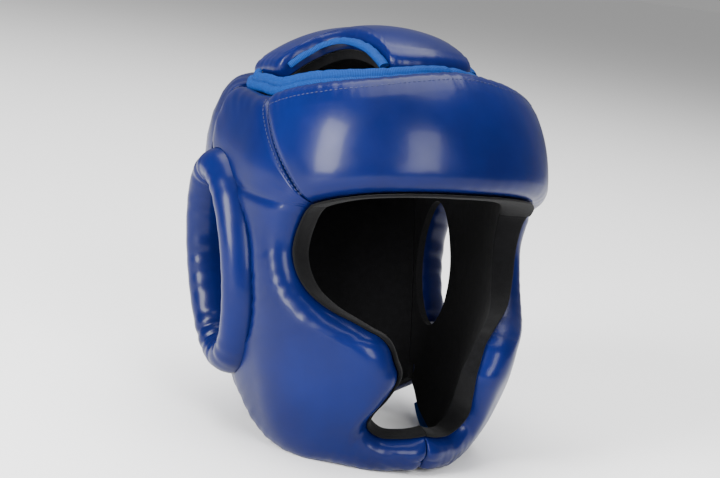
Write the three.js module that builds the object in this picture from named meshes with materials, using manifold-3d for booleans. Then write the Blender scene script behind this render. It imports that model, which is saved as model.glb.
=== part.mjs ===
// Full-face padded head guard for karate, resting on its chin bar and the edge of its back pad.
// Every piece lies on one head form, placed by degrees round the head and degrees up.
// Millimetres, +Z up, the face looks along -Y and the wearer's right side is at -X.
import * as THREE from 'three';
import { mergeVertices } from 'three/addons/utils/BufferGeometryUtils.js';
import Module from 'manifold-3d';

const wasm = await Module();
wasm.setup();

// Sizes of the head form, which is the face between the leather pads and the black lining
const HEAD_WIDTH = 156;
const HEAD_DEPTH = 182;
const CROWN_RISE = 136; // from the middle of the form to its top

// Thickness of the padding
const BROW_PAD = 22;
const SIDE_PAD = 18;
const CROWN_PAD = 12;
const BACK_PAD = 14;
const LINING = 6;

// Edges of the padding
const PAD_ROLL = 14.5; // width over which a pad's edge rounds down
const CROWN_ROLL = 11;
const BEAD = 4.5; // width of the lining's rolled lip in the face opening
const SEAM_DIP = 0.82; // height left where two pads are sewn together

// Padded ring round the ear hole
const RING_HALF_LENGTH = 30; // front to back, at the middle of its tube
const RING_HALF_HEIGHT = 57;
const RING_TUBE = 12; // half of the tube's width, seen from the side
const RING_DEPTH = 16; // half of the tube's depth, towards the head
const EAR_LIP = 4; // how far the lining shows inside the ring

// Binding tape and the closing strap
const TAPE_WIDTH = 6;
const TAPE_THICKNESS = 3;
const STRAP_WIDTH = 42;
const STRAP_LENGTH = 96;
const STRAP_THICKNESS = 2.5;

const GAP = 0.3; // between neighbouring pieces
const LINING_GAP = 0.5; // from the head form down to the lining
const PRESS = 1.5; // how far the padding flattens where it rests

// Shape of the head form: radii as shares of half the head width, at degrees up from the middle
const FORM = table(['up', 'side', 'front', 'back', 'round', 'roundBack'], [
  [-90, 1.64, 1.64, 1.64, 2.0, 2.0],
  [-75, 1.59, 1.56, 1.65, 1.9, 2.0],
  [-60, 1.42, 1.385, 1.68, 1.7, 2.1],
  [-45, 1.205, 1.28, 1.5, 1.65, 2.25],
  [-30, 1.064, 1.18, 1.34, 1.75, 2.2],
  [-15, 1.006, 1.103, 1.265, 1.9, 2.1],
  [0, 1.0, 1.077, 1.256, 2.0, 2.1],
  [15, 1.038, 1.128, 1.4, 2.05, 2.2],
  [30, 1.158, 1.269, 1.62, 2.1, 2.5],
  [45, 1.352, 1.462, 1.83, 2.1, 2.65],
  [60, 1.59, 1.59, 1.855, 2.0, 2.25],
  [75, 1.71, 1.695, 1.81, 2.0, 2.1],
  [90, 1.745, 1.745, 1.745, 2.0, 2.0],
]);

// Brow band: bottom edge, top edge, thickness and lining lip as shares of the brow padding
const BROW_ROWS = table(['lowAz', 'lowEl', 'topAz', 'topEl', 'thick', 'lip'], [
  [56.5, 21.6, 82.5, 54.0, 0.84, 0.62],
  [50.5, 22.6, 67.0, 54.2, 0.95, 0.64],
  [40.0, 23.5, 50.0, 53.6, 1.0, 0.66],
  [27.0, 23.7, 33.0, 53.2, 1.0, 0.68],
  [13.5, 23.6, 16.0, 54.2, 1.0, 0.68],
  [0, 23.5, 0, 55.2, 1.0, 0.68],
]);

// Side pad from the chin seam round the cheek to the temple seam: edge at the face opening and
// outer edge, thickness and lip as shares of the side padding, and how far the lining passes
// under the ear ring
const SIDE_ROWS = table(['inAz', 'inEl', 'outAz', 'outEl', 'thick', 'lip', 'ear'], [
  [0, -64.5, 0, -73.5, 0.72, 0.2, 0],
  [15, -66.3, 18, -74.3, 0.72, 0.2, 0],
  [31, -66.5, 42, -74.5, 0.74, 0.24, 0],
  [40.3, -63.3, 62, -72.5, 0.76, 0.34, 0],
  [37.8, -59, 77, -70, 0.8, 0.4, 0],
  [29.5, -53, 90, -67.5, 0.86, 0.34, 0],
  [23.7, -45.3, 101, -64.5, 0.92, 0.24, 0],
  [25.8, -39.9, 110, -60.8, 0.98, 0.14, 0],
  [28.5, -34.5, 117, -56.3, 0.96, 0.06, 0],
  [32.5, -31, 122, -50.5, 0.93, 0.06, 0],
  [38, -28.7, 125, -44, 0.93, 0.06, 0],
  [45, -25.3, 115, -37, 0.94, 0.1, 1],
  [52, -21.8, 103, -33, 0.96, 0.18, 1],
  [58, -17.4, 95.5, -26, 0.95, 0.28, 1],
  [63, -12.2, 91.5, -17, 0.94, 0.36, 1],
  [66.5, -5, 90, -7, 0.93, 0.44, 1],
  [67.7, 3, 89.5, 4, 0.92, 0.48, 1],
  [66, 10, 91, 13, 0.93, 0.52, 1],
  [63, 15.7, 95, 21.5, 0.95, 0.56, 1],
  [60.8, 18.6, 101, 28, 0.97, 0.6, 1],
  [59.2, 20, 109, 33.5, 0.94, 0.64, 1],
  [58.2, 20.6, 119, 38, 0.96, 0.66, 0.6],
  [57.6, 21, 126.5, 42.5, 0.98, 0.68, 0],
  [57.2, 21.3, 126.5, 49, 1.0, 0.7, 0],
  [57, 21.5, 121, 54.6, 1.02, 0.72, 0],
  [56.8, 21.4, 103, 55.4, 1.03, 0.74, 0],
  [56.5, 21.6, 82.5, 54.0, 1.03, 0.76, 0],
]);

// Edge of the crown from the middle of the front tongue, over a vent and round to the back
const CROWN_ROWS = table(['az', 'el'], [
  [0, 60.2], [12, 60.2], [22, 60.3], [27, 61.5], [30, 65], [36, 69.5], [46, 73], [60, 75.5], [75, 75.8],
  [88, 73.5], [95, 69], [99, 64.5], [104, 61.6], [115, 60.6], [124, 59.4], [133, 57.4], [148, 57],
  [164, 57], [180, 57],
]);
const VENT_START = 3; // rows of that table between which the tape runs round the vent
const VENT_END = 11;

// Back pad from the ear ring to the middle of the back, thickness as a share of the back padding
const BACK_ROWS = table(['lowAz', 'lowEl', 'topAz', 'topEl', 'thick'], [
  [128, -44.5, 128, 55.8, 0.92],
  [140, -46, 140, 56, 1.0],
  [153, -46.5, 153, 56, 1.0],
  [166, -46.5, 166, 56, 1.0],
  [180, -46.5, 180, 56, 1.0],
]);

// Places as shares of the head form
const RING_PLACE = { out: 1.075, back: 0.2, up: 0.019 };
const RING_TURN_OUT = 8; // degrees that its front limb stands further out
const RING_LEAN = 4; // degrees that its lower end leans in
const STRAP_UP = -0.16; // share of the crown's rise

const LEATHER = { color: 0x1f3f8f, roughness: 0.38, metalness: 0 };
const BLACK_LINING = { color: 0x0b0b0d, roughness: 0.95, metalness: 0 };
const TAPE = { color: 0x1087d6, roughness: 0.7, metalness: 0 };

// Tables and curves
function table(names, rows) {
  return rows.map((row) => Object.fromEntries(names.map((name, i) => [name, row[i]])));
}

function blend(a, b, c, d, u) {
  return 0.5 * (2 * b + (c - a) * u + (2 * a - 5 * b + 4 * c - d) * u * u
    + (3 * b - a - 3 * c + d) * u * u * u);
}

// A row between the rows of a table, at a share of its length, on a smooth curve
function rowAt(rows, share) {
  const place = Math.min(Math.max(share, 0), 1) * (rows.length - 1);
  const i = Math.min(Math.floor(place), rows.length - 2);
  const pick = (k) => rows[Math.min(Math.max(i + k, 0), rows.length - 1)];
  const row = {};
  for (const name of Object.keys(rows[0])) {
    row[name] = blend(pick(-1)[name], pick(0)[name], pick(1)[name], pick(2)[name], place - i);
  }
  return row;
}

const radians = THREE.MathUtils.degToRad;
const FORM_MIDDLE = FORM.find((row) => row.up === 0);
const SIDE_UNIT = HEAD_WIDTH / 2;
const DEPTH_UNIT = HEAD_DEPTH / (FORM_MIDDLE.front + FORM_MIDDLE.back);
const RISE_UNIT = CROWN_RISE / FORM[FORM.length - 1].front;

// Point of the head form, az degrees from the face towards the right and el degrees up
function formPoint(az, el) {
  const row = rowAt(FORM, (el + 90) / 180);
  const ahead = Math.cos(radians(az));
  const aside = Math.sin(radians(az));
  const reach = ahead > 0 ? row.front : row.back;
  const power = ahead > 0 ? row.round : row.roundBack;
  const radius = ((Math.abs(ahead) / reach) ** power + (Math.abs(aside) / row.side) ** power)
    ** (-1 / power);
  const level = Math.cos(radians(el));
  return new THREE.Vector3(-SIDE_UNIT * radius * aside * level, -DEPTH_UNIT * radius * ahead * level,
    RISE_UNIT * radius * Math.sin(radians(el)));
}

const STEP = 0.2; // degrees, for the slope of the form
function formNormal(az, el) {
  const up = Math.min(el, 90 - 2 * STEP);
  const along = formPoint(az + STEP, up).sub(formPoint(az - STEP, up));
  const rise = formPoint(az, up + STEP).sub(formPoint(az, up - STEP));
  const normal = new THREE.Vector3().crossVectors(rise, along).normalize();
  if (el >= 90 - STEP) return new THREE.Vector3(0, 0, 1);
  return normal.dot(formPoint(az, el)) < 0 ? normal.negate() : normal;
}

const onForm = (az, el, height) => formPoint(az, el).addScaledVector(formNormal(az, el), height);

// Straight run across a pad between two edges, with its length along the form
function strip(az0, el0, az1, el1) {
  const at = (share) => [az0 + (az1 - az0) * share, el0 + (el1 - el0) * share];
  let length = 0;
  const steps = 8;
  for (let i = 0; i < steps; i += 1) {
    length += formPoint(...at(i / steps)).distanceTo(formPoint(...at((i + 1) / steps)));
  }
  return { length, point: (along, height) => onForm(...at(along / length), height) };
}

// Skin over a row of closed loops with the same number of points, as one closed body.
// A loop is worked out from its flat outline, which also gives the triangles of an end
function skin(loops, closed = false) {
  const size = loops[0].points.length;
  const points = loops.flatMap((loop) => loop.points).flatMap((p) => p.toArray());
  const index = [];
  const spans = closed ? loops.length : loops.length - 1;
  for (let r = 0; r < spans; r += 1) {
    const here = r * size;
    const next = ((r + 1) % loops.length) * size;
    for (let i = 0; i < size; i += 1) {
      const j = (i + 1) % size;
      index.push(here + i, here + j, next + j, here + i, next + j, next + i);
    }
  }
  if (!closed) {
    const last = (loops.length - 1) * size;
    for (const [i, j, k] of endTriangles(loops[0])) index.push(j, i, k);
    for (const [i, j, k] of endTriangles(loops.at(-1))) index.push(last + i, last + j, last + k);
  }
  return weld(points, index);
}

// Triangles across a section, zipped between its outer side, which comes first in the outline,
// and its inner side, which runs back
function endTriangles({ outline, outer }) {
  const triangles = [];
  let i = 0;
  let j = outline.length - 1;
  while (i < outer - 1 || j > outer) {
    const stepOuter = j <= outer || (i < outer - 1 && outline[i + 1][0] < outline[j - 1][0]);
    triangles.push(stepOuter ? [i, i + 1, j] : [i, j - 1, j]);
    if (stepOuter) i += 1;
    else j -= 1;
  }
  return triangles;
}

// Loop of a section whose outer and inner sides are given across a run, with heights over the form
const loopOn = (run, outside, inside) => {
  const outline = [...outside, ...inside.toReversed()];
  return {
    outline, outer: outside.length,
    points: outline.map(([across, height]) => run.point(across, height)),
  };
};

// Joins equal points, drops flat triangles and turns the body the right way out
function weld(points, index) {
  const geometry = new THREE.BufferGeometry();
  geometry.setAttribute('position', new THREE.Float32BufferAttribute(points, 3));
  geometry.setIndex(index);
  const merged = mergeVertices(geometry, 1e-4);
  const p = (i) => new THREE.Vector3().fromBufferAttribute(merged.attributes.position, i);
  const old = merged.index.array;
  const kept = [];
  let volume = 0;
  for (let t = 0; t < old.length; t += 3) {
    const [a, b, c] = [old[t], old[t + 1], old[t + 2]];
    if (a === b || b === c || c === a) continue;
    kept.push([a, b, c]);
    volume += p(a).dot(p(b).cross(p(c)));
  }
  merged.setIndex(kept.flatMap(([a, b, c]) => (volume > 0 ? [a, b, c] : [a, c, b])));
  return merged;
}

// Section of a pad: rounded edges, nearly flat between them, and flat on the lining
const ROLL_STEPS = 3;
const ROLL_POWER = 2.3;
const WALL = 0.22; // share of the thickness that stands straight at an edge
const DOME = 0.05; // share by which the middle stands proud of the rolls
const rollAt = (k) => {
  const turn = (Math.PI / 2) * (k / ROLL_STEPS);
  return [1 - Math.cos(turn) ** (2 / ROLL_POWER),
    WALL + (1 - WALL) * Math.sin(turn) ** (2 / ROLL_POWER)];
};

// Places across a run where the pad and its lining share their corners
function stations(run, rollWidth, flats) {
  const roll = Math.min(rollWidth, 0.46 * run.length);
  const inner = Array.from({ length: flats + 1 }, (_, k) => roll + (run.length - 2 * roll) * (k / flats));
  return { roll, inner };
}

function padLoop(run, thickness, rollWidth, flats) {
  const { roll, inner } = stations(run, rollWidth, flats);
  const edge = Array.from({ length: ROLL_STEPS }, (_, k) => rollAt(k)).map(
    ([across, height]) => [roll * across, thickness * height],
  );
  const top = [...edge, ...inner.map((across) => [across, thickness]),
    ...edge.map(([across, height]) => [run.length - across, height]).reverse()];
  const domed = top.map(([across, height]) => {
    const middle = 2 * (across / run.length) - 1;
    return [across, height * (1 + DOME * (1 - middle * middle))];
  });
  return loopOn(run, domed, [0, ...inner, run.length].map((across) => [across, GAP]));
}

// Section of the lining: a rolled lip of the given height at the opening, then a plain layer
// that reaches as far as the pad, or further where it passes under the ear ring
const EAR_STEPS = 2;
function liningLoop(run, lip, rollWidth, flats, reach = 1) {
  const { inner } = stations(run, rollWidth, flats);
  const rim = Math.max(lip, 2 * GAP);
  const past = Array.from({ length: EAR_STEPS }, (_, k) => run.length
    * (1 + (reach - 1) * ((k + 1) / EAR_STEPS)));
  const beyond = reach > 1.001 ? past : past.map((across, k) => across + 1e-3 * (k + 1));
  const layer = [...inner, run.length, ...beyond];
  const rolled = [
    [-0.75 * BEAD, -0.85 * LINING],
    [-BEAD, -0.3 * LINING],
    [-BEAD, rim - 0.3 * BEAD],
    [-0.6 * BEAD, rim],
    [-2 * GAP, rim - 0.2 * BEAD],
    [-2 * GAP, -LINING_GAP],
  ];
  const under = [-0.5 * BEAD, inner[0], inner[Math.floor(flats / 2)], inner[flats], run.length, ...beyond];
  return loopOn(run, [...rolled, ...layer.map((across) => [across, -LINING_GAP])],
    under.map((across) => [across, -LINING]));
}

// Flat section of the binding tape with a number of ridges
function tapeLoop(centre, across, out, ridges) {
  const outline = [];
  const steps = 3 * ridges;
  const width = TAPE_WIDTH * ridges;
  for (let k = 0; k <= steps; k += 1) {
    const share = k / steps;
    const swell = 0.35 + 0.65 * Math.abs(Math.sin(Math.PI * ridges * share)) ** 0.6;
    outline.push([width * (share - 0.5), 0.5 * TAPE_THICKNESS * swell]);
  }
  outline.push([0.5 * width, -0.5 * TAPE_THICKNESS], [-0.5 * width, -0.5 * TAPE_THICKNESS]);
  return { outline, outer: steps + 1, points: outline.map(([x, y]) => centre.clone()
    .addScaledVector(across, x).addScaledVector(out, y)) };
}

// Rows of a table worked into loops
function loopsAlong(rows, count, makeLoop, from = 0, to = 1) {
  const loops = [];
  for (let k = 0; k <= count; k += 1) {
    const share = from + (to - from) * (k / count);
    loops.push(makeLoop(rowAt(rows, share), share));
  }
  return loops;
}

// Both halves of a piece that crosses the middle: rows from the right edge to the left one
const mirrored = (rows) => [...rows, ...rows.slice(0, -1).reverse().map((row) => {
  const other = { ...row };
  for (const name of Object.keys(row)) if (name.endsWith('z')) other[name] = -row[name];
  return other;
})];

// Height left near a sewn end, where the seam draws the padding down
const SEAM_REACH = 0.03; // share of a pad's length
const seam = (share) => 1 - (1 - SEAM_DIP) * (Math.max(0, 1 - share / SEAM_REACH)
  + Math.max(0, 1 - (1 - share) / SEAM_REACH));

// Turns a sewn end back from its neighbour, so that two pads keep their gap
const SEAM_TURN = THREE.MathUtils.radToDeg(GAP / SIDE_UNIT);
const SEAM_CLEAR = 2 * SEAM_TURN;
function clearOfSeam(row, share, first, last) {
  const turn = SEAM_TURN * (first * Math.max(0, 1 - share / SEAM_REACH)
    + last * Math.max(0, 1 - (1 - share) / SEAM_REACH));
  const other = { ...row };
  for (const name of Object.keys(row)) if (name.endsWith('Az')) other[name] += turn;
  return other;
}

function browRun(row, share) {
  const { lowAz, lowEl, topAz, topEl } = clearOfSeam(row, share, -1, 1);
  return strip(lowAz, lowEl, topAz, topEl);
}

function sideRun(row, share) {
  const { inAz, inEl, outAz, outEl } = clearOfSeam(row, share, 1, 1);
  return strip(inAz, inEl, outAz, outEl);
}

const PAD_FLATS = 3;
const BACK_FLATS = 6;

function browPad() {
  return skin(loopsAlong(mirrored(BROW_ROWS), 24, (row, share) => padLoop(
    browRun(row, share), BROW_PAD * row.thick * seam(share), PAD_ROLL, PAD_FLATS,
  )));
}

function browLining() {
  return skin(loopsAlong(mirrored(BROW_ROWS), 24, (row, share) => liningLoop(
    browRun(row, share), BROW_PAD * row.lip, PAD_ROLL, PAD_FLATS,
  )));
}

const SIDE_STEPS = 34;
function sidePad() {
  return skin(loopsAlong(SIDE_ROWS, SIDE_STEPS, (row, share) => padLoop(
    sideRun(row, share), SIDE_PAD * row.thick * seam(share), PAD_ROLL, PAD_FLATS,
  )));
}

function sideLining() {
  return skin(loopsAlong(SIDE_ROWS, SIDE_STEPS, (row, share) => {
    const past = Math.max(0, BACK_ROWS[0].lowAz - SEAM_CLEAR - row.outAz);
    const reach = 1 + (Math.min(row.ear, 1) * past) / Math.max(row.outAz - row.inAz, STEP);
    return liningLoop(sideRun(row, share), SIDE_PAD * row.lip, PAD_ROLL, PAD_FLATS, reach);
  }));
}

const backRows = () => mirrored(BACK_ROWS).map(wrapRound);
const backRun = (row) => strip(row.lowAz, row.lowEl, row.topAz, row.topEl);

function backPad() {
  return skin(loopsAlong(backRows(), 16, (row) => padLoop(
    backRun(row), BACK_PAD * row.thick, PAD_ROLL, BACK_FLATS,
  )));
}

function backLining() {
  return skin(loopsAlong(backRows(), 16, (row) => {
    const run = backRun(row);
    const along = [0, ...stations(run, PAD_ROLL, BACK_FLATS).inner, run.length];
    return loopOn(run, along.map((across) => [across, -LINING_GAP]), along.map((across) => [across, -LINING]));
  }));
}

// Degrees past the middle of the back count on to 360
function wrapRound(row) {
  const other = { ...row };
  for (const name of Object.keys(row)) if (name.endsWith('Az') && row[name] < 0) other[name] += 360;
  return other;
}

// The crown's rows run from its top to its edge, all the way round
function crownLoops(makeLoop) {
  const half = CROWN_ROWS;
  const whole = [...half, ...half.slice(1, -1).reverse().map((row) => ({ az: 360 - row.az, el: row.el }))];
  const ring = [...whole, { az: 360, el: half[0].el }];
  return loopsAlong(ring, 1.5 * whole.length, makeLoop).slice(0, -1);
}

const CROWN_STEPS = 3;
const crownStations = (run) => Array.from({ length: CROWN_STEPS + 1 },
  (_, k) => (run.length - CROWN_ROLL) * (k / CROWN_STEPS));

function crownPad() {
  return skin(crownLoops((row) => {
    const run = strip(row.az, 90, row.az, row.el);
    const inner = crownStations(run);
    const edge = Array.from({ length: ROLL_STEPS }, (_, k) => rollAt(k)).reverse();
    return loopOn(run, [...inner.map((across) => [across, CROWN_PAD]),
      ...edge.map(([across, height]) => [run.length - CROWN_ROLL * across, CROWN_PAD * height])],
    [...inner, run.length].map((across) => [across, GAP]));
  }), true);
}

function crownLining() {
  return skin(crownLoops((row) => {
    const run = strip(row.az, 90, row.az, row.el);
    const along = [...crownStations(run), run.length];
    return loopOn(run, along.map((across) => [across, -LINING_GAP]), along.map((across) => [across, -LINING]));
  }), true);
}

// Tape along a path of points with the form's outward direction at each
function tape(path, ridges, closedRound = false) {
  const loops = path.map(({ point, out }, i) => {
    const ahead = path[Math.min(i + 1, path.length - 1)].point;
    const behind = path[Math.max(i - 1, 0)].point;
    const along = ahead.clone().sub(behind).normalize();
    const across = new THREE.Vector3().crossVectors(out, along).normalize();
    const level = new THREE.Vector3().crossVectors(along, across).normalize();
    return tapeLoop(point, across, level, ridges);
  });
  return skin(loops, closedRound);
}

// Where the brow tape lies: beside the top edge of the brow and side pads
const BROW_TAPE_HEIGHT = 0.36; // share of the brow padding
function browTape() {
  const edge = [
    ...SIDE_ROWS.slice(24).map((row) => ({ az: row.outAz, el: row.outEl })),
    ...BROW_ROWS.slice(1).map((row) => ({ az: row.topAz, el: row.topEl })),
  ];
  const rows = [...edge, ...edge.slice(0, -1).reverse().map(({ az, el }) => ({ az: -az, el }))];
  return tape(tapePath(rows, 32, TAPE_WIDTH + 3 * GAP, BROW_PAD * BROW_TAPE_HEIGHT), 2);
}

// Path beside an edge, at a distance outwards from the pad and a height over the form
function tapePath(rows, count, beside, height) {
  const path = [];
  const at = (share) => {
    const row = rowAt(rows, share);
    return { base: onForm(row.az, row.el, height), out: formNormal(row.az, row.el) };
  };
  const small = 0.002;
  for (let k = 0; k <= count; k += 1) {
    const share = k / count;
    const { base, out } = at(share);
    const along = at(Math.min(share + small, 1)).base.sub(at(Math.max(share - small, 0)).base);
    const across = new THREE.Vector3().crossVectors(out, along.normalize());
    path.push({ point: base.addScaledVector(across, beside), out });
  }
  return path;
}

function ventTape() {
  const rows = CROWN_ROWS.slice(VENT_START, VENT_END + 1);
  return tape(tapePath(rows, 24, TAPE_WIDTH / 2 + GAP, CROWN_PAD * 0.55), 1);
}

const JAW_TAPE = [0.13, 0.34]; // shares of the side pad's rows that the jaw tape runs along
function jawTape() {
  const rows = SIDE_ROWS.map((row) => ({ az: row.outAz, el: row.outEl }));
  const count = 12;
  const path = tapePath(rows, count / (JAW_TAPE[1] - JAW_TAPE[0]), 0.6 * TAPE_WIDTH, SIDE_PAD * 0.12);
  return tape(path.slice(Math.round(JAW_TAPE[0] * path.length), Math.round(JAW_TAPE[1] * path.length)), 1);
}

// Frame of the right ear ring: its middle, and directions forwards, upwards and out of the head
function ringFrame() {
  const matrix = new THREE.Matrix4().makeRotationFromEuler(
    new THREE.Euler(0, radians(-RING_LEAN), radians(-RING_TURN_OUT), 'ZYX'),
  );
  const middle = new THREE.Vector3(-SIDE_UNIT * RING_PLACE.out, HEAD_DEPTH * RING_PLACE.back,
    CROWN_RISE * RING_PLACE.up);
  return {
    middle,
    forward: new THREE.Vector3(0, -1, 0).transformDirection(matrix),
    up: new THREE.Vector3(0, 0, 1).transformDirection(matrix),
    out: new THREE.Vector3(-1, 0, 0).transformDirection(matrix),
  };
}

// The ring's padded tube, made wider by a clearance where it serves as a cutter
const RING_AROUND = 26;
const RING_ABOUT = 10;
function ringTube(clearance, around, roundSteps) {
  const { middle, forward, up, out } = ringFrame();
  const loops = [];
  for (let k = 0; k < around; k += 1) {
    const turn = (2 * Math.PI * k) / around;
    const centre = middle.clone().addScaledVector(forward, RING_HALF_LENGTH * Math.cos(turn))
      .addScaledVector(up, RING_HALF_HEIGHT * Math.sin(turn));
    const away = forward.clone().multiplyScalar(Math.cos(turn) / RING_HALF_LENGTH)
      .addScaledVector(up, Math.sin(turn) / RING_HALF_HEIGHT).normalize();
    const points = [];
    for (let j = 0; j < roundSteps; j += 1) {
      const about = (2 * Math.PI * j) / roundSteps;
      points.push(centre.clone().addScaledVector(away, (RING_TUBE + clearance) * Math.cos(about))
        .addScaledVector(out, (RING_DEPTH + clearance) * Math.sin(about)));
    }
    loops.push({ points });
  }
  return skin(loops, true);
}

// Oval plug through the lining at the ear, smaller than the ring's hole by the lip
function earPlug() {
  const { middle, forward, up, out } = ringFrame();
  const loops = [-3 * RING_DEPTH, 2 * RING_DEPTH].map((depth) => {
    const steps = 24;
    const outline = Array.from({ length: steps }, (_, k) => (2 * Math.PI * k) / steps).map((turn) => [
      -(RING_HALF_LENGTH - RING_TUBE - EAR_LIP) * Math.cos(turn),
      (RING_HALF_HEIGHT - RING_TUBE - EAR_LIP) * Math.sin(turn),
    ]);
    return { outline, outer: 1 + steps / 2, points: outline.map(([x, y]) => middle.clone()
      .addScaledVector(out, depth).addScaledVector(forward, x).addScaledVector(up, y)) };
  });
  return skin(loops);
}

// Solid of the head form grown by a clearance, to shape what lies against the lining
function formCore(clearance) {
  const around = 36;
  const levels = 14;
  const low = -80;
  const loops = [];
  for (let k = 0; k < around; k += 1) {
    const az = (360 * k) / around;
    const side = Array.from({ length: levels + 1 }, (_, i) => onForm(az, 90 - ((90 - low) * i) / levels,
      clearance));
    loops.push({ points: [...side, new THREE.Vector3(0, 0, side[levels].z)] });
  }
  return skin(loops, true);
}

// Joins and cuts
function toSolid(geometry) {
  return new wasm.Manifold(new wasm.Mesh({
    numProp: 3,
    vertProperties: new Float32Array(geometry.attributes.position.array),
    triVerts: new Uint32Array(geometry.index.array),
  }));
}

function fromSolid(solid) {
  const mesh = solid.getMesh();
  return weld(Array.from(mesh.vertProperties), Array.from(mesh.triVerts));
}

const cut = (geometry, ...cutters) => fromSolid(cutters.reduce(
  (solid, cutter) => solid.subtract(toSolid(cutter)), toSolid(geometry),
));

function mirrorX(geometry) {
  const other = geometry.clone();
  other.applyMatrix4(new THREE.Matrix4().makeScale(-1, 1, 1));
  return weld(Array.from(other.attributes.position.array), Array.from(other.index.array));
}

// Closing strap across the back pad
function strap() {
  const turn = THREE.MathUtils.radToDeg(STRAP_LENGTH / 2 / (HEAD_DEPTH * 0.54));
  const half = THREE.MathUtils.radToDeg(STRAP_WIDTH / 2 / (HEAD_DEPTH * 0.54));
  const middle = THREE.MathUtils.radToDeg(Math.atan2(STRAP_UP * CROWN_RISE, HEAD_DEPTH * 0.54));
  const loops = [];
  const count = 14;
  for (let k = 0; k <= count; k += 1) {
    const az = 180 - turn + (2 * turn * k) / count;
    const under = BACK_PAD * (1 + DOME) + 4 * GAP;
    const shares = [-1, -0.5, 0, 0.5, 1];
    const outline = [...shares.map((x) => [x, under + STRAP_THICKNESS]),
      ...shares.map((x) => [x, under]).reverse()];
    loops.push({ outline, outer: shares.length,
      points: outline.map(([share, height]) => onForm(az, middle + half * share, height)) });
  }
  return skin(loops);
}

// The pieces, the right ones made and the left ones mirrored
const ringCutter = ringTube(GAP, RING_AROUND, RING_ABOUT);
const leftRingCutter = mirrorX(ringCutter);
const plug = earPlug();
const leftPlug = mirrorX(plug);
const rightSide = cut(sidePad(), ringCutter);
const rightLining = cut(sideLining(), plug);
const rightRing = cut(ringTube(0, RING_AROUND, RING_ABOUT), formCore(GAP));
const rightVentTape = ventTape();
const rightJawTape = jawTape();

const PIECES = [
  ['forehead_pad', browPad(), LEATHER],
  ['side_pad_right', rightSide, LEATHER],
  ['side_pad_left', mirrorX(rightSide), LEATHER],
  ['ear_ring_right', rightRing, LEATHER],
  ['ear_ring_left', mirrorX(rightRing), LEATHER],
  ['crown_pad', crownPad(), LEATHER],
  ['back_pad', cut(backPad(), ringCutter, leftRingCutter), LEATHER],
  ['brow_lining', browLining(), BLACK_LINING],
  ['side_lining_right', rightLining, BLACK_LINING],
  ['side_lining_left', mirrorX(rightLining), BLACK_LINING],
  ['crown_lining', crownLining(), BLACK_LINING],
  ['back_lining', cut(backLining(), plug, leftPlug), BLACK_LINING],
  ['brow_binding', browTape(), TAPE],
  ['vent_binding_right', rightVentTape, TAPE],
  ['vent_binding_left', mirrorX(rightVentTape), TAPE],
  ['jaw_binding_right', rightJawTape, TAPE],
  ['jaw_binding_left', mirrorX(rightJawTape), TAPE],
  ['closure_strap', strap(), LEATHER],
];

// How the guard comes to rest: tipped back until the chin bar and the back pad's edge are level
const RESTING = ['side_pad_right', 'side_pad_left', 'back_pad'];
const turned = (geometry, tilt) => geometry.clone().applyMatrix4(
  new THREE.Matrix4().makeRotationX(-tilt),
);

function lowest(names, tilt) {
  let low = Infinity;
  for (const [name, geometry] of PIECES) {
    if (!names.includes(name)) continue;
    const box = new THREE.Box3().setFromBufferAttribute(turned(geometry, tilt).attributes.position);
    low = Math.min(low, box.min.z);
  }
  return low;
}

function restTilt() {
  let [less, more] = [0, Math.PI / 4];
  for (let i = 0; i < 30; i += 1) {
    const middle = (less + more) / 2;
    if (lowest(['side_pad_right'], middle) < lowest(['back_pad'], middle)) less = middle;
    else more = middle;
  }
  return (less + more) / 2;
}

const tilt = restTilt();
const floor = lowest(RESTING, tilt) + PRESS;
const whole = new THREE.Box3();
for (const piece of PIECES) {
  piece[1] = fromSolid(toSolid(turned(piece[1], tilt)).trimByPlane([0, 0, 1], floor));
  whole.union(new THREE.Box3().setFromBufferAttribute(piece[1].attributes.position));
}

const guard = new THREE.Group();
const middle = whole.getCenter(new THREE.Vector3());
for (const [name, geometry, finish] of PIECES) {
  geometry.translate(-middle.x, -middle.y, -floor);
  const mesh = new THREE.Mesh(geometry, new THREE.MeshStandardMaterial(finish));
  mesh.name = name;
  guard.add(mesh);
}

export default guard;
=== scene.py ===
# The padded head guard as it looks: every pad, lining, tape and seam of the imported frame,
# with leather, brushed lining, woven binding and thread. Lengths are millimetres in the
# guard's own upright frame until place() tips them into the resting frame in metres.
from math import cos, pi, radians, sin
import bpy
import numpy as np
from mathutils import Matrix, Vector


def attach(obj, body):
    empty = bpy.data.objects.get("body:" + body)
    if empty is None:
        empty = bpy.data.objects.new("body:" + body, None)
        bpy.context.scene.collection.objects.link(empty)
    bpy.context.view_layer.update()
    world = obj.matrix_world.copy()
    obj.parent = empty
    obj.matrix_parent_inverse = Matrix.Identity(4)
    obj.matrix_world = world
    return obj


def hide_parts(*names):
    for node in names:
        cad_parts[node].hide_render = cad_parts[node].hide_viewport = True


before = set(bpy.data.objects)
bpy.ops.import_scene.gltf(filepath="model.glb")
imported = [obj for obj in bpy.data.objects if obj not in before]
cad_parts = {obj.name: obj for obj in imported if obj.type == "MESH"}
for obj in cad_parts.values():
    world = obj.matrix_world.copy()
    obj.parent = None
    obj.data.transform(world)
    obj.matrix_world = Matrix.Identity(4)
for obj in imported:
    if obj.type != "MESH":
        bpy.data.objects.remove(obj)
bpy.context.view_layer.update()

# Sizes
HEAD_WIDTH = 156
HEAD_DEPTH = 182
CROWN_RISE = 136
BROW_PAD = 22
SIDE_PAD = 18
CROWN_PAD = 12
BACK_PAD = 14
LINING = 6
PAD_ROLL = 14.5
CROWN_ROLL = 11
BEAD = 2.8
RING_HALF_LENGTH = 30
RING_HALF_HEIGHT = 57
RING_TUBE = 12
RING_DEPTH = 16
EAR_LIP = 4
TAPE_WIDTH = 6
TAPE_THICKNESS = 3
STRAP_WIDTH = 42
STRAP_LENGTH = 96
STRAP_THICKNESS = 2.5
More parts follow.
